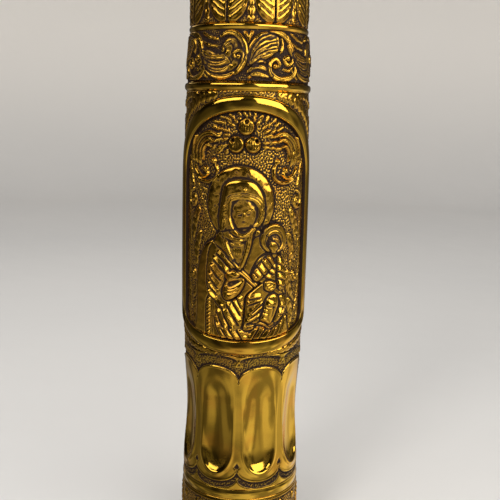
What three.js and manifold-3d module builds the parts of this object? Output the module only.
// Tall altar vase of chased brass: fluted waist, arched icon panels front and back, frieze and leaf neck.
// Its sleeves are soldered over spigots on the ring mouldings between them, and a water liner hangs inside.
// Millimetres, +Z up, the middle of the foot's underside at the origin, the icon facing -Y.
import * as THREE from 'three';
import { mergeVertices } from 'three/addons/utils/BufferGeometryUtils.js';
import { TessellateModifier } from 'three/addons/modifiers/TessellateModifier.js';
import Module from 'manifold-3d';

// Sheet, fits and the fineness of the faces
const wall = 1.2;
const jointGap = 0.3;
const spigotWall = 1.4;
const spigotLength = 6;
const cutOverrun = 2;
const turnedFacets = 32;
const fluteFacets = 7;
const drumRows = 3;
const rollingStep = 12;
const rollingRounds = 20;
const curveSegments = 8;
const outlineSteps = 26;
const bossFacets = 10;

// Heights of the courses, foot to mouth
const footHeight = 7;
const baseDrumHeight = 37.5;
const lowerRingHeight = 7.5;
const waistHeight = 98;
const iconDrumHeight = 178.3;
const shoulderRingHeight = 6.4;
const friezeHeight = 32.5;
const neckRingHeight = 4.4;
const neckHeight = 42.4;
const mouthRimHeight = 5.6;

// Outer radius of the drum, its swell, and what the other sleeves lose from it
const drumRadius = 42.6;
const drumSwell = 0.5;
const waistPinch = 2.4;
const friezeStep = 0.7;
const friezeTaper = 1.6;
const neckStep = 0.3;
const neckTaper = 0.4;

// Foot, its closing plate and the plate's screws
const footProjection = 5.4;
const footEdge = 1.5;
const footFlangeTop = 4.6;
const footShoulderStep = 1.6;
const footRimWidth = 7.7;
const plateThickness = 3;
const plateRecess = 2;
const ledgeThickness = 4;
const ledgeWidth = 7.3;
const screwCount = 3;
const screwRadius = 1.3;
const screwHeadRadius = 2.7;
const screwHeadHeight = 1.2;
const screwSlotWidth = 0.6;
const screwSlotDepth = 0.5;
const screwFacets = 12;

// How far each ring moulding stands proud of its sleeves
const lowerRingProud = 0.5;
const shoulderRingProud = 1.1;
const neckRingProud = 0.6;
const mouthRimProud = 2;

// Eight flutes hammered into the waist
const fluteCount = 8;
const flutePhaseDegrees = -2.5;
const fluteDepth = 5.2;
const fluteRidge = 4.4;
const fluteLowMargin = 11.5;
const fluteTopMargin = 11;
const fluteTopFadeShare = 0.45;
const fluteRows = 12;

// The arched windows, the frames round them and the plaques behind them
const arcRise = 1.4;
const windowSideMargin = 2.5;
const windowSillHeight = 11.4;
const windowSillRise = 10;
const windowTopMargin = 12.3;
const windowCrownRise = 46;
const sillSteps = 20;
const sideSteps = 5;
const crownSteps = 28;
const frameWidth = 10;
const frameProud = 2.1;
const frameSetback = 0.6;
const frameSections = 4;
const plaqueLap = 2.6;
const plaqueThickness = 0.9;

// Mother and child on the front plaque: heights from the drum's floor, reliefs from the plaque's ground
const motherHalfWidth = 38;
const motherHeight = 77;
const motherFoot = 9;
const motherRelief = 3;
const veilHalfWidth = 16.5;
const veilHalfHeight = 20.5;
const veilHeight = 101.5;
const veilOffset = -2;
const veilRelief = 3.9;
const faceHalfWidth = 8.5;
const faceHalfHeight = 11;
const faceHeight = 97.5;
const faceOffset = -1;
const faceRelief = 4.8;
const haloRadius = 25;
const haloHeight = 105.5;
const haloOffset = -3.5;
const haloRelief = 1.5;
const childHaloRadius = 10.3;
const childHaloHeight = 82;
const childOffset = 20.5;
const childHaloRelief = 3.5;
const childHeadRadius = 5.6;
const childHeadHeight = 78;
const childHeadRelief = 4.7;
const childHalfWidth = 12;
const childHeight = 49;
const childFoot = 21;
const childRelief = 4;
const armRelief = 3.8;
const armHalfWidth = 5.5;
const armHalfLength = 12;
const armHeight = 47;
const armOffset = -9;
const kneeOffset = 21;
const kneeHeight = 33;
const kneeHalfWidth = 8.5;
const kneeHalfHeight = 10.5;
const kneeRelief = 4.8;

// Three roundels and a leaf scroll on each side of the halo
const roundelRadius = 5.2;
const roundelRelief = 3;
const roundelHoleRadius = 1.4;
const roundelHoleReach = 3.6;
const roundelSpread = 6.2;
const roundelLowHeight = 144;
const roundelTopHeight = 155.5;
const scrollHeight = 127;
const scrollOffset = 31;
const scrollRadius = 10;
const scrollBand = 4.4;
const scrollBallRadius = 4.2;
const scrollRelief = 2.2;
const scrollStartDegrees = -60;
const scrollEndDegrees = 200;

// Leaves and volutes of both plaques
const leafHalfWidth = 3.6;
const leafRootShare = 0.2;
const leafSteps = 6;
const leafRelief = 1.6;
const voluteRadius = 5;

// Cross on its steps, embossed on the back plaque
const crossHeight = 96;
const crossHalfSpan = 27;
const crossHalfArm = 5;
const crossHalfFlare = 8.5;
const crossBeamHeight = 62;
const crossRelief = 3.2;
const crossBossRadius = 8;
const crossBossRelief = 4.6;
const stepFoot = 18;
const stepHalfWidth = 34;
const stepHeight = 8;
const stepCount = 3;
const stepInset = 9;
const stepRelief = 2.4;

// Lift-out water liner
const linerClearance = 0.7;
const linerTaper = 2;
const linerDepth = 190;
const linerWall = 0.9;
const linerLipOverhang = 0.8;
const linerLipThickness = 1.1;
const linerBead = 0.9;

const wasm = await Module();
wasm.setup();
const { Vector2, Shape, Path } = THREE;
const at = (x, y) => new Vector2(x, y);
const { degToRad, lerp } = THREE.MathUtils;

// Heights of the joints between the courses
const baseDrumFloor = footHeight;
const lowerRingFloor = baseDrumFloor + baseDrumHeight;
const waistFloor = lowerRingFloor + lowerRingHeight;
const drumFloor = waistFloor + waistHeight;
const shoulderRingFloor = drumFloor + iconDrumHeight;
const friezeFloor = shoulderRingFloor + shoulderRingHeight;
const neckRingFloor = friezeFloor + friezeHeight;
const neckFloor = neckRingFloor + neckRingHeight;
const mouthFloor = neckFloor + neckHeight;
const mouthTop = mouthFloor + mouthRimHeight;

// Radii that follow the drum's
const friezeLowRadius = drumRadius - friezeStep;
const friezeTopRadius = friezeLowRadius - friezeTaper;
const neckLowRadius = friezeTopRadius - neckStep;
const neckTopRadius = neckLowRadius - neckTaper;
const footRadius = drumRadius + footProjection;
const recessRadius = footRadius - footRimWidth;
const plateRadius = recessRadius - jointGap;
const ledgeRadius = recessRadius - ledgeWidth;
const screwCircleRadius = (ledgeRadius + plateRadius) / 2;
const arcRadius = drumRadius + arcRise;
const rimRadius = neckTopRadius + mouthRimProud;

// The window in the unrolled drum: half its width, and the height where its arch springs
const windowHalfWidth = Math.PI / 2 * arcRadius - windowSideMargin - frameWidth - frameSetback;
const windowSpringHeight = iconDrumHeight - windowTopMargin - windowCrownRise;

// The two faces of the vase, as turns about its axis
const front = 0;
const back = Math.PI;

// Depths on the drum, counted outwards from its outer face
const groundDepth = -wall - jointGap;
const backDepth = groundDepth - plaqueThickness;
const formTop = Math.max(faceRelief, kneeRelief, childHeadRelief, crossBossRelief) + cutOverrun;

// A solid from a geometry whose faces share vertices
function solidFrom(geometry) {
  const bare = new THREE.BufferGeometry();
  const open = geometry.index ? geometry.toNonIndexed() : geometry;
  bare.setAttribute('position', open.getAttribute('position'));
  const merged = mergeVertices(bare);
  return new wasm.Manifold(new wasm.Mesh({
    numProp: 3,
    vertProperties: new Float32Array(merged.attributes.position.array),
    triVerts: new Uint32Array(merged.index.array),
  }));
}

// A geometry from a solid
function geometryFrom(solid) {
  const mesh = solid.getMesh();
  const geometry = new THREE.BufferGeometry();
  geometry.setAttribute('position', new THREE.BufferAttribute(mesh.vertProperties, mesh.numProp));
  geometry.setIndex(new THREE.BufferAttribute(mesh.triVerts, 1));
  geometry.computeVertexNormals();
  return geometry;
}

// A closed profile of radius and height, turned about the vase's axis
function turned(profile, facets = turnedFacets) {
  const closed = [...profile, profile[0]];
  const area = profile.reduce((sum, p, i) => sum + p.cross(closed[i + 1]), 0);
  if (area < 0) closed.reverse();
  return new THREE.LatheGeometry(closed, facets).rotateX(Math.PI / 2);
}

// A band of sheet whose faces follow two radii given by height
function band(low, high, outerAt, innerAt, rowCount) {
  const heights = Array.from({ length: rowCount + 1 }, (_, i) => lerp(low, high, i / rowCount));
  const outer = heights.map((z) => at(outerAt(z), z));
  const inner = heights.toReversed().map((z) => at(innerAt(z), z));
  return [...outer, ...inner];
}

// A sleeve between two joints, its outer radius given by height
function sleeve(low, high, radiusAt, rowCount) {
  return band(low + jointGap / 2, high - jointGap / 2, radiusAt, (z) => radiusAt(z) - wall, rowCount);
}

// Outer radius of each sleeve by height
const shareOf = (z, low, height) => Math.min(1, Math.max(0, (z - low) / height));
const baseRadiusAt = () => drumRadius;
const waistRadiusAt = (z) => (
  drumRadius - waistPinch * Math.sin(Math.PI * shareOf(z, waistFloor, waistHeight)) ** 2
);
const drumRadiusAt = (z) => (
  drumRadius + drumSwell * Math.sin(Math.PI * shareOf(z, drumFloor, iconDrumHeight))
);
const friezeRadiusAt = (z) => lerp(friezeLowRadius, friezeTopRadius, shareOf(z, friezeFloor, friezeHeight));
const neckRadiusAt = (z) => lerp(neckLowRadius, neckTopRadius, shareOf(z, neckFloor, neckHeight));

// Radius of a spigot that a sleeve slides over between two heights
const spigotRadius = (radiusAt, low, high) => Math.min(radiusAt(low), radiusAt(high)) - wall - jointGap;

// A ring moulding: a rounded bead between two sleeves, with a spigot down and a spigot up
function ringMoulding(low, high, belowAt, aboveAt, proud) {
  const lowSpigot = spigotRadius(belowAt, low - spigotLength, low);
  const highSpigot = spigotRadius(aboveAt, high, high + spigotLength);
  const bore = Math.min(lowSpigot, highSpigot) - spigotWall;
  const crown = Math.max(belowAt(low), aboveAt(high)) + proud;
  const edge = (high - low) / 4;
  return turned([
    at(bore, low - spigotLength),
    at(lowSpigot, low - spigotLength),
    at(lowSpigot, low),
    at(belowAt(low), low),
    at(crown, low + edge),
    at(crown, high - edge),
    at(aboveAt(high), high),
    at(highSpigot, high),
    at(highSpigot, high + spigotLength),
    at(bore, high + spigotLength),
  ]);
}

// Depth of the flutes at an angle and a height, deepest above their rounded lower ends
function fluteDepthAt(angle, z) {
  const turns = (angle - degToRad(flutePhaseDegrees)) / (2 * Math.PI) * fluteCount;
  const pitch = 2 * Math.PI * (drumRadius - waistPinch) / fluteCount;
  const across = (turns - Math.floor(turns) - 1 / 2) * pitch / ((pitch - fluteRidge) / 2);
  const halfLength = (waistHeight - fluteLowMargin - fluteTopMargin) / 2;
  const along = (z - waistFloor - fluteLowMargin - halfLength) / halfLength;
  const reach = Math.hypot(across, along ** 2);
  if (reach >= 1) return 0;
  const fade = 1 - fluteTopFadeShare * (along + 1) / 2;
  return fluteDepth * fade * Math.sin(Math.PI / 2 * (1 - reach ** 2));
}

// The waist sleeve, pressed in by the flutes
function flutedWaist() {
  const profile = sleeve(waistFloor, drumFloor, waistRadiusAt, fluteRows);
  const geometry = turned(profile, fluteCount * fluteFacets);
  const { position } = geometry.attributes;
  for (let i = 0; i < position.count; i += 1) {
    const [x, y, z] = [position.getX(i), position.getY(i), position.getZ(i)];
    const scale = 1 - fluteDepthAt(Math.atan2(x, -y), z) / Math.hypot(x, y);
    position.setXY(i, x * scale, y * scale);
  }
  return geometry;
}

// Places of the screws round the foot
function screwPlaces() {
  return Array.from({ length: screwCount }, (_, i) => {
    const angle = 2 * Math.PI * i / screwCount;
    return [screwCircleRadius * Math.sin(angle), -screwCircleRadius * Math.cos(angle), 0];
  });
}

// A solid with the screws' clearance holes through it
function drilled(solid, low, high) {
  const height = high - low + 2 * cutOverrun;
  const radius = screwRadius + jointGap;
  return screwPlaces().reduce((rest, [x, y]) => {
    const hole = new THREE.CylinderGeometry(radius, radius, height, screwFacets);
    return rest.subtract(solidFrom(hole.rotateX(Math.PI / 2).translate(x, y, (low + high) / 2)));
  }, solid);
}

// The foot: a flange with a recess below for the plate, a ledge above it and a spigot for the base drum
const ledgeFloor = plateRecess + plateThickness + jointGap;
const ledgeTop = ledgeFloor + ledgeThickness;
function footRing() {
  const spigot = spigotRadius(baseRadiusAt, footHeight, footHeight + spigotLength);
  const ring = solidFrom(turned([
    at(recessRadius, 0),
    at(footRadius - footEdge, 0),
    at(footRadius, footEdge),
    at(footRadius, footFlangeTop),
    at(drumRadius + footShoulderStep, footHeight),
    at(spigot, footHeight),
    at(spigot, footHeight + spigotLength),
    at(spigot - spigotWall, footHeight + spigotLength),
    at(spigot - spigotWall, ledgeTop),
    at(ledgeRadius, ledgeTop),
    at(ledgeRadius, ledgeFloor),
    at(recessRadius, ledgeFloor),
  ]));
  return geometryFrom(drilled(ring, ledgeFloor, ledgeTop));
}

// The plate that closes the foot
function basePlate() {
  const top = plateRecess + plateThickness;
  const disc = turned([at(0, plateRecess), at(plateRadius, plateRecess), at(plateRadius, top), at(0, top)]);
  return geometryFrom(drilled(solidFrom(disc), plateRecess, top));
}

// One screw, its head under the plate and its slot facing down
function baseScrew() {
  const headTop = plateRecess - jointGap / 2;
  const headFloor = headTop - screwHeadHeight;
  const body = solidFrom(turned([
    at(0, headFloor),
    at(screwHeadRadius, headFloor),
    at(screwHeadRadius, headTop),
    at(screwRadius, headTop),
    at(screwRadius, ledgeTop),
    at(0, ledgeTop),
  ], screwFacets));
  const slotLength = 2 * (screwHeadRadius + cutOverrun);
  const slot = new THREE.BoxGeometry(slotLength, screwSlotWidth, 2 * screwSlotDepth);
  return geometryFrom(body.subtract(solidFrom(slot.translate(0, 0, headFloor))));
}

// The rolled rim at the mouth, with a flat top that the liner's lip rests on
function mouthRim() {
  const spigot = spigotRadius(neckRadiusAt, mouthFloor - spigotLength, mouthFloor);
  const edge = mouthRimHeight / 4;
  return turned([
    at(spigot - spigotWall, mouthFloor - spigotLength),
    at(spigot, mouthFloor - spigotLength),
    at(spigot, mouthFloor),
    at(neckTopRadius, mouthFloor),
    at(rimRadius, mouthFloor + edge),
    at(rimRadius, mouthTop - edge),
    at(rimRadius - edge, mouthTop),
    at(spigot - spigotWall, mouthTop),
  ]);
}

// The hidden sleeve that joins the waist to the icon drum
function waistCoupling() {
  const [low, high] = [drumFloor - spigotLength, drumFloor + spigotLength];
  const inWaist = spigotRadius(waistRadiusAt, low, drumFloor);
  const inDrum = spigotRadius(drumRadiusAt, drumFloor, high);
  const outer = Math.min(inWaist, inDrum);
  const inner = outer - spigotWall;
  return turned([at(inner, low), at(outer, low), at(outer, high), at(inner, high)]);
}

// The water liner: a tapered cup that hangs by its beaded lip
function linerCup() {
  const seat = mouthTop + jointGap;
  const lipTop = seat + linerLipThickness;
  const floor = seat - linerDepth;
  const bore = spigotRadius(neckRadiusAt, mouthFloor - spigotLength, mouthFloor) - spigotWall;
  const top = bore - linerClearance;
  const foot = top - linerTaper;
  const lip = rimRadius + linerLipOverhang;
  return turned([
    at(0, floor),
    at(foot, floor),
    at(top, seat),
    at(lip - linerBead, seat),
    at(lip, seat + linerBead / 2),
    at(lip, lipTop - linerBead / 2),
    at(lip - linerBead, lipTop),
    at(top - linerWall, lipTop),
    at(foot - linerWall, floor + linerWall),
    at(0, floor + linerWall),
  ]);
}

// The window's outline, unrolled: x along the arc, y up from the drum's floor, grown by a margin
function archPoints(grow) {
  const half = windowHalfWidth + grow;
  const sillCentre = windowSillHeight + windowSillRise;
  const outline = new Path();
  outline.absellipse(0, sillCentre, half, windowSillRise + grow, Math.PI, 2 * Math.PI);
  outline.lineTo(half, windowSpringHeight);
  outline.absellipse(0, windowSpringHeight, half, windowCrownRise + grow, 0, Math.PI);
  outline.closePath();
  const steps = [sillSteps, sideSteps, crownSteps, sideSteps];
  return outline.curves.flatMap((curve, i) => curve.getSpacedPoints(steps[i]).slice(0, -1));
}
const archShape = (grow) => new Shape(archPoints(grow));

// Rolls a flat form onto the drum: x becomes the arc, y the height and z the distance outside the drum
function rolled(geometry, facing) {
  const { position } = geometry.attributes;
  for (let i = 0; i < position.count; i += 1) {
    const height = drumFloor + position.getY(i);
    const radius = drumRadiusAt(height) + position.getZ(i);
    const angle = position.getX(i) / arcRadius + facing;
    position.setXYZ(i, radius * Math.sin(angle), -radius * Math.cos(angle), height);
  }
  return geometry;
}

// A flat outline given thickness between two depths, split finely enough to roll, as a solid
function rolledSlab(shape, low, high, facing) {
  const slab = new THREE.ExtrudeGeometry(shape, { depth: high - low, bevelEnabled: false, curveSegments });
  const fine = new TessellateModifier(rollingStep, rollingRounds).modify(slab.translate(0, 0, low));
  return solidFrom(rolled(fine, facing));
}

// A rounded boss on the drum, as deep below its middle as it is high
function rolledBoss(x, y, halfWidth, halfHeight, relief, facing) {
  const boss = new THREE.SphereGeometry(1, bossFacets, bossFacets / 2).scale(halfWidth, halfHeight, relief);
  return solidFrom(rolled(boss.translate(x, y, groundDepth), facing));
}

// The layer of the drum between two depths
function drumLayer(low, high) {
  const [floor, top] = [drumFloor + jointGap, shoulderRingFloor - jointGap];
  const [outerAt, innerAt] = [(z) => drumRadiusAt(z) + high, (z) => drumRadiusAt(z) + low];
  return solidFrom(turned(band(floor, top, outerAt, innerAt, drumRows)));
}

// An outline embossed to a relief above the plaque's ground
function embossed(shape, relief, facing) {
  const prism = rolledSlab(shape, backDepth - cutOverrun, groundDepth + relief + cutOverrun, facing);
  return prism.intersect(drumLayer(groundDepth - plaqueThickness / 2, groundDepth + relief));
}

// The drum sleeve with a window at the front and one at the back
function iconDrum() {
  const whole = solidFrom(turned(sleeve(drumFloor, shoulderRingFloor, drumRadiusAt, drumRows)));
  return geometryFrom([front, back].reduce((rest, facing) => (
    rest.subtract(rolledSlab(archShape(0), -wall - cutOverrun, cutOverrun, facing))
  ), whole));
}

// A rounded frame round one window: its section is carried along the outline
function iconFrame(facing) {
  const inside = archPoints(frameSetback);
  const outside = archPoints(frameSetback + frameWidth);
  const dome = Array.from({ length: frameSections + 1 }, (_, i) => {
    const across = i / frameSections;
    return [across, jointGap + (frameProud - jointGap) * Math.sqrt(Math.sin(Math.PI * across))];
  });
  const section = [...dome, [1 / 2, jointGap]];
  const points = inside.flatMap((place, i) => section.flatMap(([across, depth]) => {
    const { x, y } = place.clone().lerp(outside[i], across);
    return [x, y, depth];
  }));
  const faces = inside.flatMap((_, i) => section.flatMap((__, j) => {
    const [here, next] = [i * section.length, ((i + 1) % inside.length) * section.length];
    const beside = (j + 1) % section.length;
    return [here + j, here + beside, next + j, here + beside, next + beside, next + j];
  }));
  const geometry = new THREE.BufferGeometry();
  geometry.setAttribute('position', new THREE.Float32BufferAttribute(points, 3));
  geometry.setIndex(faces);
  return rolled(geometry, facing);
}

// A smooth closed outline through shares of a half width and a height, standing on a point
function outlineShape(shares, halfWidth, height, x, y) {
  const [first, ...rest] = shares.map(([u, v]) => at(x + u * halfWidth, y + v * height));
  const shape = new Shape();
  shape.moveTo(first.x, first.y);
  shape.splineThru([...rest, first]);
  return new Shape(shape.getSpacedPoints(outlineSteps).slice(0, -1));
}

// A circle or an oval
function ovalShape(x, y, halfWidth, halfHeight) {
  const shape = new Shape();
  shape.absellipse(x, y, halfWidth, halfHeight, 0, 2 * Math.PI);
  return shape;
}

// The curling band of the right-hand scroll, its inner and outer edge as arcs
function curlShape() {
  const [start, end] = [degToRad(scrollStartDegrees), degToRad(scrollEndDegrees)];
  const shape = new Shape();
  shape.absarc(scrollOffset, scrollHeight, scrollRadius, start, end);
  shape.absarc(scrollOffset, scrollHeight, scrollRadius - scrollBand, end, start, true);
  return shape;
}

// A shape as it is on the right side, or mirrored for the left
function mirrored(side, shape) {
  return new Shape(shape.getPoints(curveSegments).map(({ x, y }) => at(side * x, y)));
}

// Outlines of the two robes as shares of a half width and a height
const motherShares = [
  [-1, 0], [-1, 0.3], [-0.99, 0.52], [-0.94, 0.68], [-0.82, 0.8], [-0.62, 0.89], [-0.46, 0.97],
  [-0.1, 1], [0.16, 0.98], [0.24, 0.87], [0.42, 0.81], [0.74, 0.79], [0.8, 0.65], [0.84, 0.45],
  [0.91, 0.2], [0.93, 0],
];
const childShares = [
  [-0.9, 0.1], [-0.95, 0.35], [-1.05, 0.62], [-0.75, 0.85], [-0.3, 1], [0.3, 1], [0.66, 0.85],
  [0.85, 0.45], [0.75, 0.15], [0.4, 0.02], [-0.3, 0],
];

// Midribs of the leaves beside the figures and beside the cross, root to tip, and the middles of the
// volutes among them, as shares of the window's half width and the drum's height
const iconLeafShares = [
  [[0.34, 0.84], [0.48, 0.85], [0.62, 0.83], [0.71, 0.79], [0.69, 0.73]],
  [[0.93, 0.74], [0.88, 0.68], [0.79, 0.64]],
  [[0.68, 0.55], [0.79, 0.5], [0.79, 0.44]],
  [[0.93, 0.56], [0.93, 0.49], [0.86, 0.42]],
  [[0.64, 0.46], [0.71, 0.4], [0.7, 0.34]],
  [[0.93, 0.4], [0.95, 0.34], [0.88, 0.29]],
  [[0.64, 0.31], [0.68, 0.26], [0.79, 0.21]],
  [[0.93, 0.27], [0.91, 0.21], [0.82, 0.16]],
  [[0.68, 0.2], [0.73, 0.15], [0.71, 0.1]],
];
const iconVoluteShares = [[0.79, 0.6], [0.78, 0.3]];
const crossLeafShares = [
  [[0.21, 0.31], [0.43, 0.36], [0.64, 0.34], [0.79, 0.27]],
  [[0.82, 0.15], [0.86, 0.22], [0.79, 0.3]],
  [[0.89, 0.35], [0.86, 0.45], [0.71, 0.54]],
  [[0.25, 0.48], [0.39, 0.43], [0.61, 0.42], [0.75, 0.45]],
  [[0.89, 0.56], [0.82, 0.66], [0.61, 0.74]],
  [[0.64, 0.76], [0.46, 0.83], [0.21, 0.86]],
];
const crossVoluteShares = [[0.59, 0.63], [0.29, 0.77], [0.43, 0.3]];

// A leaf on the right side: its outline swells from a blunt root and ends in a point
function leafShape(midribShares) {
  const places = midribShares.map(([u, v]) => at(u * windowHalfWidth, v * iconDrumHeight));
  const midrib = new THREE.SplineCurve(places);
  const stations = Array.from({ length: leafSteps + 1 }, (_, i) => i / leafSteps);
  const edge = (side) => stations.map((t) => {
    const { x, y } = midrib.getTangent(t);
    const reach = side * leafHalfWidth * Math.sin(Math.PI * lerp(leafRootShare, 1, t));
    return midrib.getPoint(t).add(at(-y, x).multiplyScalar(reach));
  });
  return new Shape([...edge(1), ...edge(-1).slice(0, -1).reverse()]);
}

// Leaves and volutes on both sides of a plaque
function foliage(leafShares, voluteShares, facing) {
  const sides = [-1, 1];
  return [
    ...leafShares.flatMap((midribShares) => sides.map((side) => (
      embossed(mirrored(side, leafShape(midribShares)), leafRelief, facing)
    ))),
    ...voluteShares.flatMap(([u, v]) => sides.map((side) => {
      const [x, y] = [side * u * windowHalfWidth, v * iconDrumHeight];
      return rolledBoss(x, y, voluteRadius, voluteRadius, leafRelief, facing);
    })),
  ];
}

// The front plaque's forms: mother, child, halos, roundels, scrolls and leaves
function iconForms(facing) {
  const mother = outlineShape(motherShares, motherHalfWidth, motherHeight, 0, motherFoot);
  const child = outlineShape(childShares, childHalfWidth, childHeight, childOffset, childFoot);
  const childHalo = ovalShape(childOffset, childHaloHeight, childHaloRadius, childHaloRadius);
  const sides = [-1, 1];
  const roundels = [
    [0, roundelTopHeight],
    ...sides.map((side) => [side * roundelSpread, roundelLowHeight]),
  ];
  return [
    ...foliage(iconLeafShares, iconVoluteShares, facing),
    embossed(ovalShape(haloOffset, haloHeight, haloRadius, haloRadius), haloRelief, facing),
    embossed(mother, motherRelief, facing),
    rolledBoss(veilOffset, veilHeight, veilHalfWidth, veilHalfHeight, veilRelief, facing),
    rolledBoss(faceOffset, faceHeight, faceHalfWidth, faceHalfHeight, faceRelief, facing),
    embossed(childHalo, childHaloRelief, facing),
    embossed(child, childRelief, facing),
    rolledBoss(childOffset, childHeadHeight, childHeadRadius, childHeadRadius, childHeadRelief, facing),
    rolledBoss(armOffset, armHeight, armHalfLength, armHalfWidth, armRelief, facing),
    rolledBoss(kneeOffset, kneeHeight, kneeHalfWidth, kneeHalfHeight, kneeRelief, facing),
    ...roundels.map(([x, y]) => rolledBoss(x, y, roundelRadius, roundelRadius, roundelRelief, facing)),
    ...sides.map((side) => embossed(mirrored(side, curlShape()), scrollRelief, facing)),
    ...sides.map((side) => {
      const ball = [side * scrollOffset, scrollHeight, scrollBallRadius, scrollBallRadius];
      return rolledBoss(...ball, scrollRelief, facing);
    }),
  ];
}

// The back plaque's forms: a cross with flared arms on steps, between leaves
function crossForms(facing) {
  const foot = stepFoot + stepCount * stepHeight;
  const [top, beam] = [foot + crossHeight, foot + crossBeamHeight];
  const upright = new Shape([
    at(-crossHalfFlare, foot),
    at(crossHalfFlare, foot),
    at(crossHalfArm, beam),
    at(crossHalfFlare, top),
    at(-crossHalfFlare, top),
    at(-crossHalfArm, beam),
  ]);
  const crossbeam = new Shape([
    at(-crossHalfSpan, beam - crossHalfFlare),
    at(0, beam - crossHalfArm),
    at(crossHalfSpan, beam - crossHalfFlare),
    at(crossHalfSpan, beam + crossHalfFlare),
    at(0, beam + crossHalfArm),
    at(-crossHalfSpan, beam + crossHalfFlare),
  ]);
  const steps = Array.from({ length: stepCount }, (_, i) => {
    const half = stepHalfWidth - i * stepInset;
    const [low, high] = [stepFoot + i * stepHeight, stepFoot + (i + 1) * stepHeight];
    const step = new Shape([at(-half, low), at(half, low), at(half, high), at(-half, high)]);
    return embossed(step, stepRelief, facing);
  });
  return [
    ...foliage(crossLeafShares, crossVoluteShares, facing),
    ...steps,
    embossed(upright, crossRelief, facing),
    embossed(crossbeam, crossRelief, facing),
    rolledBoss(0, beam, crossBossRadius, crossBossRadius, crossBossRelief, facing),
  ];
}

// A plaque behind a window: a thin plate that laps behind the drum, its forms standing up into the window
function iconPlaque(facing, forms) {
  const prism = rolledSlab(archShape(plaqueLap), backDepth - cutOverrun, groundDepth + cutOverrun, facing);
  const plate = prism.intersect(drumLayer(backDepth, groundDepth));
  const opening = rolledSlab(archShape(-jointGap), groundDepth - plaqueThickness, formTop, facing);
  const outside = drumLayer(groundDepth - plaqueThickness / 2, formTop);
  const relief = forms(facing).reduce((rest, form) => rest.add(form));
  return plate.add(relief.intersect(opening).intersect(outside));
}

// The front plaque has a small hole drilled beside each roundel
function iconPlaqueFront() {
  const holes = [
    [0, roundelTopHeight + roundelHoleReach],
    ...[-1, 1].map((side) => [side * roundelSpread, roundelLowHeight + roundelHoleReach]),
  ];
  return geometryFrom(holes.reduce((rest, [x, y]) => (
    rest.subtract(rolledSlab(ovalShape(x, y, roundelHoleRadius, roundelHoleRadius),
      backDepth - cutOverrun, formTop, front))
  ), iconPlaque(front, iconForms)));
}

// Finishes
function finish(color, roughness) {
  return new THREE.MeshStandardMaterial({ color, roughness, metalness: 1 });
}
const polishedBrass = finish(0xd8aa3a, 0.2);
const chasedBrass = finish(0xb08a34, 0.38);
const dullBrass = finish(0x8f7436, 0.5);
const steel = finish(0x8d8a84, 0.45);

// The three ring mouldings between the sleeves
const lowerRing = ringMoulding(lowerRingFloor, waistFloor, baseRadiusAt, waistRadiusAt, lowerRingProud);
const shoulderRing = ringMoulding(
  shoulderRingFloor,
  friezeFloor,
  drumRadiusAt,
  friezeRadiusAt,
  shoulderRingProud,
);
const neckRing = ringMoulding(neckRingFloor, neckFloor, friezeRadiusAt, neckRadiusAt, neckRingProud);

// The assembly: each piece at its own place on the axis
const altarVase = new THREE.Group();
function addPiece(name, geometry, material, place = [0, 0, 0]) {
  const piece = new THREE.Mesh(geometry, material);
  piece.name = name;
  piece.position.set(...place);
  altarVase.add(piece);
}

addPiece('foot_ring', footRing(), polishedBrass);
addPiece('base_plate', basePlate(), dullBrass);
screwPlaces().forEach((place, i) => addPiece(`base_screw_${i + 1}`, baseScrew(), steel, place));
addPiece('base_drum', turned(sleeve(baseDrumFloor, lowerRingFloor, baseRadiusAt, 1)), chasedBrass);
addPiece('lower_ring', lowerRing, polishedBrass);
addPiece('fluted_waist', flutedWaist(), polishedBrass);
addPiece('waist_coupling', waistCoupling(), dullBrass);
addPiece('icon_drum', iconDrum(), chasedBrass);
addPiece('icon_frame_front', iconFrame(front), polishedBrass);
addPiece('icon_frame_back', iconFrame(back), polishedBrass);
addPiece('icon_plaque_front', iconPlaqueFront(), chasedBrass);
addPiece('icon_plaque_back', geometryFrom(iconPlaque(back, crossForms)), chasedBrass);
addPiece('shoulder_ring', shoulderRing, polishedBrass);
addPiece('frieze_sleeve', turned(sleeve(friezeFloor, neckRingFloor, friezeRadiusAt, 1)), chasedBrass);
addPiece('neck_ring', neckRing, polishedBrass);
addPiece('neck_sleeve', turned(sleeve(neckFloor, mouthFloor, neckRadiusAt, 1)), chasedBrass);
addPiece('mouth_rim', mouthRim(), polishedBrass);
addPiece('liner_cup', linerCup(), dullBrass);

export default altarVase;
